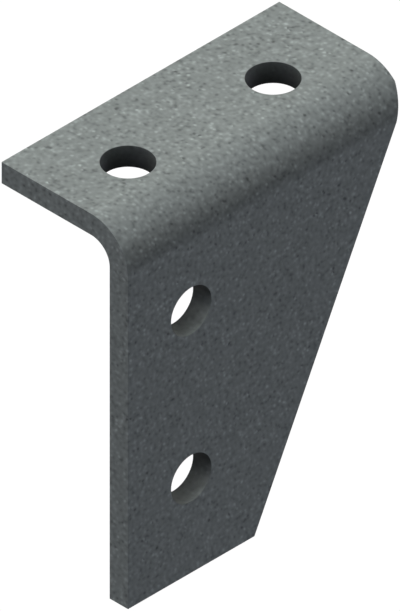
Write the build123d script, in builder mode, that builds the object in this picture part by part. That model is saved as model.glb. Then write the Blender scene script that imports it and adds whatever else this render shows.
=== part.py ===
from build123d import *
import math
import os

# Splice angle for a cable ladder: one plate, cut to shape in the flat, drilled,
# and folded once through a right angle.
#
# Frame: the origin is midway between the two bolt holes of the leg, on the leg's
# outer face. +X runs along the fold from the straight side edge to the tapered one,
# +Y goes from the leg's outer face back under the flange, +Z is up the leg.

# ---- driving dimensions, mm ----
plate = 6.0  # plate thickness
flange_width = 90.0  # flange, along the fold
flange_depth = 41.0  # leg's outer face to the flange's free edge
height = 105.0  # foot to the flange's outer face
foot_width = 41.0  # leg's width at its foot
bend_inner = 6.0  # inner radius of the fold
neutral = 0.30  # neutral line in the fold, as a share of the plate from its inner face
hole_d = 13.0  # clearance hole for an M12 bolt
pitch = 47.0  # between the two holes of either limb
side_margin = 20.5  # straight side edge to the first holes
leg_hole_drop = 31.5  # flange's outer face to the leg's upper hole
flange_hole_back = 20.5  # leg's outer face to the flange's holes
edge_r = 0.09  # edges rounded over by the zinc coat, which is about as thick

# ---- derived from them ----
bend_outer = bend_inner + plate
x_left = -side_margin
x_right = x_left + flange_width
z_top = leg_hole_drop + pitch / 2
z_foot = z_top - height
z_bend = z_top - bend_outer  # where the leg ends and the fold begins
neutral_r = bend_inner + neutral * plate

# The taper is one straight cut in the flat blank. It runs from the foot to the
# fold's centre line, so its slope comes from the developed length between them.
blank_run = (z_bend - z_foot) + neutral_r * math.radians(45)
taper = (flange_width - foot_width) / blank_run
x_bend = x_left + foot_width + taper * (z_bend - z_foot)
over = 2.0  # how far each cutter stands past what it cuts


def cut_edge(turn):
    """X of the tapered edge at this many degrees into the fold, from the leg."""
    return x_bend + taper * neutral_r * math.radians(turn)


def radial_plane(turn):
    """Plane through the fold's axis: local x along the axis, local y outward."""
    c, s = math.cos(math.radians(turn)), math.sin(math.radians(turn))
    return Plane(origin=(0, bend_outer, z_bend), x_dir=(1, 0, 0), z_dir=(0, -s, -c))


def is_sharp(edge, solid):
    """True where two faces meet at a corner, and not where they run on smoothly."""
    middle = edge @ 0.5
    sides = [f for f in solid.faces() if any(e.is_same(edge) for e in f.edges())]
    if len(sides) != 2:
        return False
    return sides[0].normal_at(middle).get_angle(sides[1].normal_at(middle)) > 20


with BuildPart() as splice_angle:
    # folded section, drawn across the fold and run along it
    with BuildSketch(Plane.YZ.offset(x_left)):
        with BuildLine():
            Line((0, z_foot), (0, z_bend))
            CenterArc((bend_outer, z_bend), bend_outer, 90, 90)
            Line((bend_outer, z_top), (flange_depth, z_top))
            Line((flange_depth, z_top), (flange_depth, z_top - plate))
            Line((flange_depth, z_top - plate), (bend_outer, z_top - plate))
            CenterArc((bend_outer, z_bend), bend_inner, 90, 90)
            Line((plate, z_bend), (plate, z_foot))
            Line((plate, z_foot), (0, z_foot))
        make_face()
    extrude(amount=flange_width)

    # tapered side of the flat leg
    with BuildSketch(Plane.XZ.offset(-plate - over)):
        with BuildLine():
            Polyline(
                (x_left + foot_width - taper * over, z_foot - over),
                (x_right + over, z_foot - over),
                (x_right + over, z_bend),
                (x_bend, z_bend),
                close=True,
            )
        make_face()
    extrude(amount=plate + 2 * over, mode=Mode.SUBTRACT)

    # the same cut carried round the fold: a warped face, radial all the way
    for turn in range(0, 61, 10):
        with BuildSketch(radial_plane(turn)):
            with BuildLine():
                Polyline(
                    (cut_edge(turn), bend_inner - over),
                    (x_right + over, bend_inner - over),
                    (x_right + over, bend_outer + over),
                    (cut_edge(turn), bend_outer + over),
                    close=True,
                )
            make_face()
    loft(mode=Mode.SUBTRACT)

    # bolt holes in the leg, one above the other
    with BuildSketch(Plane.XZ):
        with GridLocations(0, pitch, 1, 2):
            Circle(hole_d / 2)
    extrude(amount=-(plate + over), mode=Mode.SUBTRACT)

    # bolt holes in the flange, side by side along the fold
    with BuildSketch(Plane.XY.offset(z_top)):
        with Locations((pitch / 2, flange_hole_back)):
            with GridLocations(pitch, 0, 2, 1):
                Circle(hole_d / 2)
    extrude(amount=-(plate + over), mode=Mode.SUBTRACT)

    # every corner edge, eased
    corners = [e for e in splice_angle.edges() if is_sharp(e, splice_angle.part)]
    fillet(corners, radius=edge_r)

splice_angle.part.label = "splice_angle"

os.makedirs("parts", exist_ok=True)
export_step(splice_angle.part, "parts/splice_angle.step")
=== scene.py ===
import math

import bpy
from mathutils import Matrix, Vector


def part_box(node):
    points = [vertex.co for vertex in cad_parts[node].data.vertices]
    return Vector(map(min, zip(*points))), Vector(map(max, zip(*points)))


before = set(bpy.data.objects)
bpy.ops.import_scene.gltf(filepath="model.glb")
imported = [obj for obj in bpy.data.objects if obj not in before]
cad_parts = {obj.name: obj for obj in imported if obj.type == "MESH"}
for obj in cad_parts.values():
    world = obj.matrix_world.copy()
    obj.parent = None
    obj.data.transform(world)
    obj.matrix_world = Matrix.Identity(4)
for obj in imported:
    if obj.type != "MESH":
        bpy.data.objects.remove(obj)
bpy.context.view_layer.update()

# Splice angle for a cable ladder: one folded, drilled and galvanised plate.
# Lengths are metres in the part's own frame: origin midway between the leg's two
# holes on its outer face, X along the fold, Y back under the flange, Z up.

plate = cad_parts["splice_angle"]
scene = bpy.context.scene

MM = 0.001
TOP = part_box("splice_angle")[1][2]  # flange's outer face
HOLE_R = 6.5 * MM
HALF_PITCH = 23.5 * MM  # half the distance between the two holes of a limb
HOLE_BACK = 20.5 * MM  # leg's outer face to the flange's holes


# ---------------------------------------------------------------- node helpers
class Nodes:
    """Short calls for adding linked nodes to one tree."""

    def __init__(self, tree):
        self.tree = tree

    def add(self, kind, settings=(), **inputs):
        node = self.tree.nodes.new(kind)
        for key, value in dict(settings).items():
            setattr(node, key, value)
        for key, value in inputs.items():
            self.feed(node.inputs[key.replace("_", " ")], value)
        return node

    def feed(self, socket, value):
        if isinstance(value, bpy.types.NodeSocket):
            self.tree.links.new(value, socket)
        else:
            socket.default_value = value

    def math(self, operation, a, b=0.0, clamp=False):
        node = self.add("ShaderNodeMath", {"operation": operation, "use_clamp": clamp})
        self.feed(node.inputs[0], a)
        self.feed(node.inputs[1], b)
        return node.outputs[0]

    def ramp(self, value, low, high, to_low, to_high, smooth=False):
        node = self.add("ShaderNodeMapRange", {"interpolation_type": "SMOOTHSTEP" if smooth else "LINEAR"})
        for key, x in (("Value", value), ("From Min", low), ("From Max", high), ("To Min", to_low), ("To Max", to_high)):
            self.feed(node.inputs[key], x)
        return node.outputs[0]

    def vector(self, operation, a, b):
        node = self.add("ShaderNodeVectorMath", {"operation": operation})
        self.feed(node.inputs[0], a)
        self.feed(node.inputs["Scale"] if operation == "SCALE" else node.inputs[1], b)
        return node.outputs[0]

    def around_zero(self, value):
        return self.math("MULTIPLY", self.math("SUBTRACT", value, 0.5), 2.0)

    def noise(self, place, size, detail, shift):
        """Smooth noise from about -1 to 1, with this feature size in metres."""
        node = self.add("ShaderNodeTexNoise", Vector=self.vector("ADD", place, shift), Scale=1 / size, Detail=detail)
        return self.around_zero(node.outputs[0])

    def wander(self, place, size, reach):
        """The place, moved about by up to half this reach, so that regular shapes turn uneven."""
        node = self.add("ShaderNodeTexNoise", Vector=place, Scale=1 / size, Detail=0.0)
        away = self.vector("SUBTRACT", node.outputs["Color"], (0.5, 0.5, 0.5))
        return self.vector("ADD", place, self.vector("SCALE", away, reach))

    def flecks(self, place, cell, inner, outer, shift):
        """Round flecks, one to a cell of this size, each with its own value from -1 to 1; 0 between them."""
        node = self.add("ShaderNodeTexVoronoi", Vector=self.vector("ADD", place, shift), Scale=1 / cell, Randomness=0.9)
        own = self.add("ShaderNodeSeparateXYZ", Vector=node.outputs["Color"]).outputs[0]
        inside = self.ramp(node.outputs["Distance"], inner / cell, outer / cell, 1.0, 0.0, smooth=True)
        return self.math("MULTIPLY", inside, self.around_zero(own))


# ------------------------------------------------------------ galvanised steel
BASE = (0.42, 0.465, 0.445)
STRETCH = (1.05, 0.94, 0.97)  # the grain runs a little longer across the fold than along it
LEAN = 0.2  # and leans this far over, sideways per height
START = (0.0375, 0.0512, -0.0134)  # where in the endless pattern the plate lies
GRAIN = [  # feature size, detail, shift, share of the tone
    (1.15 * MM, 0.0, (0.013, 0.007, 0.002), 0.545),
    (3.0 * MM, 1.0, (0.031, 0.019, 0.044), 0.08),
]
PEAKED = 0.5  # power of itself that the fine grain is multiplied by, so that most of it stays near 0
FLECKS = [  # cell size, full inside this radius, none outside this one, shift
    (1.5 * MM, 0.10 * MM, 0.67 * MM, (0.002, 0.005, 0.001)),
    (1.5 * MM, 0.10 * MM, 0.67 * MM, (0.111, 0.087, 0.064)),
]
WANDER = (2.0 * MM, 0.6 * MM)  # unevenness of the flecks: feature size, reach
DARKEST, LIGHTEST = 0.36, 0.46  # how far one fleck can take the tone down or up
PATCHES = (4.5 * MM, 1.0, (0.023, 0.041, 0.017))  # where the grain is fainter or stronger
FAINTER, STRONGER = 0.80, 1.20
# painted shade on the walls of the bolt holes, multiplied into the base colour: darker with depth, on one side and on
# the leg holes' ceiling
HOLE_LIGHT = {  # share of the light kept on a hole's wall: at its mouth, deep inside, fading over this length;
    "upper": (0.94, 0.10, 3.3 * MM, 0.14),  # and the share of that lost on the wall's darker side
    "lower": (0.78, 0.12, 2.5 * MM, 0.26),
    "left": (0.56, 0.0, 3.8 * MM, 0.40),
    "right": (0.52, 0.0, 3.8 * MM, 0.50),
}
HOLE_CEILING = 0.34  # painted shade: share of that kept by the upper side of the leg's holes, which faces down
WALL_GRAIN = 0.5  # how much of the grain is left on the smoother walls of the holes


def galvanised_steel():
    """Dull hot-dip zinc: mottled grey with small dark and light flecks, with painted shade darkening the holes."""
    mat = bpy.data.materials.new("galvanised_steel_finish")
    mat.use_nodes = True
    n = Nodes(mat.node_tree)
    shader = mat.node_tree.nodes["Principled BSDF"]
    axes = n.add("ShaderNodeSeparateXYZ", Vector=n.add("ShaderNodeTexCoord").outputs["Object"])
    x, y, z = (axes.outputs[i] for i in range(3))
    leaning = n.math("MULTIPLY", z, LEAN)
    drawn = n.add("ShaderNodeCombineXYZ", X=n.math("ADD", x, leaning), Y=n.math("ADD", y, leaning), Z=z).outputs[0]
    drawn = n.vector("ADD", n.vector("MULTIPLY", drawn, STRETCH), START)
    uneven = n.wander(drawn, *WANDER)

    # zinc grain in two sizes and two sets of flecks, fainter in some patches than in others
    fine, medium = (n.noise(drawn, *layer[:3]) for layer in GRAIN)
    fine = n.math("MULTIPLY", fine, n.math("POWER", n.math("ABSOLUTE", fine), PEAKED))
    tone = 0.0
    for layer, (*_, share) in zip((fine, medium), GRAIN):
        tone = n.math("ADD", tone, n.math("MULTIPLY", layer, share))
    for layer in (n.flecks(uneven, *settings) for settings in FLECKS):
        up = n.math("MULTIPLY", n.math("MAXIMUM", layer, 0.0), LIGHTEST)
        down = n.math("MULTIPLY", n.math("MINIMUM", layer, 0.0), DARKEST)
        tone = n.math("ADD", tone, n.math("ADD", up, down))
    patches = n.ramp(n.noise(uneven, *PATCHES), -0.45, 0.45, FAINTER, STRONGER)
    tone = n.math("MULTIPLY", tone, patches)

    # painted shade on the walls of the four bolt holes, placed by their distance from the holes' axes
    def hole(across, along, depth, darker, light, ceiling=1.0):
        """Painted shade, as the share of the light kept: 1 everywhere but on this hole's wall."""
        near, far, fade, lost = light
        kept = n.ramp(n.math("EXPONENT", n.math("DIVIDE", depth, -fade)), 0.0, 1.0, far, near)
        kept = n.math("MULTIPLY", kept, n.ramp(along, -0.1 * HOLE_R, 0.3 * HOLE_R, 1.0, ceiling))
        kept = n.math("MULTIPLY", kept, n.math("SUBTRACT", 1.0, n.math("MULTIPLY", darker, lost)))
        r = n.math("SQRT", n.math("ADD", n.math("POWER", across, 2.0), n.math("POWER", along, 2.0)))
        return n.ramp(r, HOLE_R + 0.01 * MM, HOLE_R + 0.07 * MM, kept, 1.0)

    def leg_hole(height, name):
        darker = n.math("MULTIPLY", n.ramp(x, -0.3 * HOLE_R, 0.2 * HOLE_R, 1.0, 0.0), n.ramp(y, 0.0, 2 * MM, 0.3, 1.0))
        return hole(x, n.math("SUBTRACT", z, height), y, darker, HOLE_LIGHT[name], HOLE_CEILING)

    def flange_hole(place, name):
        across, back, down = (n.math("SUBTRACT", *pair) for pair in ((x, place), (y, HOLE_BACK), (TOP, z)))
        to_back = n.ramp(n.math("SUBTRACT", back, across), -0.9 * HOLE_R, HOLE_R, -0.5, 1.0)
        darker = n.math("MULTIPLY", to_back, n.ramp(down, 1.5 * MM, 6 * MM, 0.0, 1.0))
        return hole(across, back, down, darker, HOLE_LIGHT[name])

    shade = 1.0
    for wall in (
        leg_hole(HALF_PITCH, "upper"),
        leg_hole(-HALF_PITCH, "lower"),
        flange_hole(0.0, "left"),
        flange_hole(2 * HALF_PITCH, "right"),
    ):
        shade = n.math("MULTIPLY", shade, wall)
    tone = n.math("MULTIPLY", tone, n.ramp(shade, 0.96, 1.0, WALL_GRAIN, 1.0))
    tone = n.math("ADD", tone, 1.0)

    # the base colour carries the zinc's tone and the painted shade of the holes
    n.feed(shader.inputs["Base Color"], n.vector("SCALE", BASE, n.math("MULTIPLY", tone, shade)))
    shader.inputs["Metallic"].default_value = 0.5
    n.feed(shader.inputs["Roughness"], n.math("ADD", n.math("MULTIPLY", medium, 0.05), 0.55))
    return mat


plate.data.materials[0] = galvanised_steel()


# ---------------------------------------------------------------------- camera
# The photograph is an exact isometric view, so the camera has no perspective.
PIXELS_PER_MM = 3.5655 * math.sqrt(1.5)
camera = bpy.data.objects.new("camera", bpy.data.cameras.new("camera"))
scene.collection.objects.link(camera)
scene.camera = camera
back = Vector((-1.0, -1.0, 1.0)).normalized()
camera.data.type = "ORTHO"
camera.data.ortho_scale = 611 / PIXELS_PER_MM * MM
camera.location = Vector((0.02331, 0.0205, 0.00308)) + back
camera.rotation_euler = back.to_track_quat("Z", "Y").to_euler()

# ---------------------------------------------------------------------- lights
# Soft studio lights, far off, so that each flat face is evenly lit.
# name, direction towards the light, angular size in degrees, strength, colour
LIGHTS = [
    ("above_front", (0.264, -0.259, 0.929), 104, 0.886, (0.965, 0.968, 1.0)),
    ("behind", (0.158, 0.919, 0.362), 47, 0.600, (1.0, 0.987, 0.996)),
    ("right", (0.828, 0.375, 0.416), 52, 0.465, (1.0, 0.999, 0.961)),
    ("left_high", (-0.698, 0.353, 0.623), 77, 0.652, (1.0, 0.989, 0.986)),
    ("left_front", (-0.900, -0.433, 0.046), 131, 0.236, (0.714, 0.724, 1.0)),
    ("below_right", (0.504, -0.163, -0.848), 48, 0.414, (0.865, 0.885, 1.0)),
    ("below", (-0.169, 0.437, -0.883), 62, 0.219, (1.0, 0.995, 0.990)),
]
for name, towards, size, strength, colour in LIGHTS:
    data = bpy.data.lights.new(name, "SUN")
    data.angle = math.radians(size)
    data.energy = strength
    data.color = colour
    lamp = bpy.data.objects.new(name, data)
    lamp.rotation_euler = Vector(towards).to_track_quat("Z", "Y").to_euler()
    scene.collection.objects.link(lamp)

# ------------------------------------------------------- white floor and surround
WHITE = 1.02  # just over 1, so that it comes out pure white all over
white = bpy.data.materials.new("white_floor")
white.use_nodes = True
nodes = white.node_tree.nodes
nodes.remove(nodes["Principled BSDF"])
glow = nodes.new("ShaderNodeEmission")
glow.inputs["Color"].default_value = (1, 1, 1, 1)
glow.inputs["Strength"].default_value = WHITE
white.node_tree.links.new(glow.outputs[0], nodes["Material Output"].inputs["Surface"])

mesh = bpy.data.meshes.new("floor")
half, low = 12.0, -0.35
mesh.from_pydata([(-half, -half, low), (half, -half, low), (half, half, low), (-half, half, low)], [], [(0, 1, 2, 3)])
mesh.materials.append(white)
floor = bpy.data.objects.new("floor", mesh)
scene.collection.objects.link(floor)
floor.visible_diffuse = floor.visible_glossy = floor.visible_transmission = floor.visible_shadow = False

world = bpy.data.worlds.new("white_surround")
scene.world = world
world.use_nodes = True
world.node_tree.nodes["Background"].inputs["Color"].default_value = (1, 1, 1, 1)
world.node_tree.nodes["Background"].inputs["Strength"].default_value = WHITE
seen = world.cycles_visibility
seen.camera, seen.diffuse, seen.glossy, seen.transmission, seen.scatter = True, False, False, False, False

scene.view_settings.view_transform = "Standard"
scene.view_settings.look = "None"
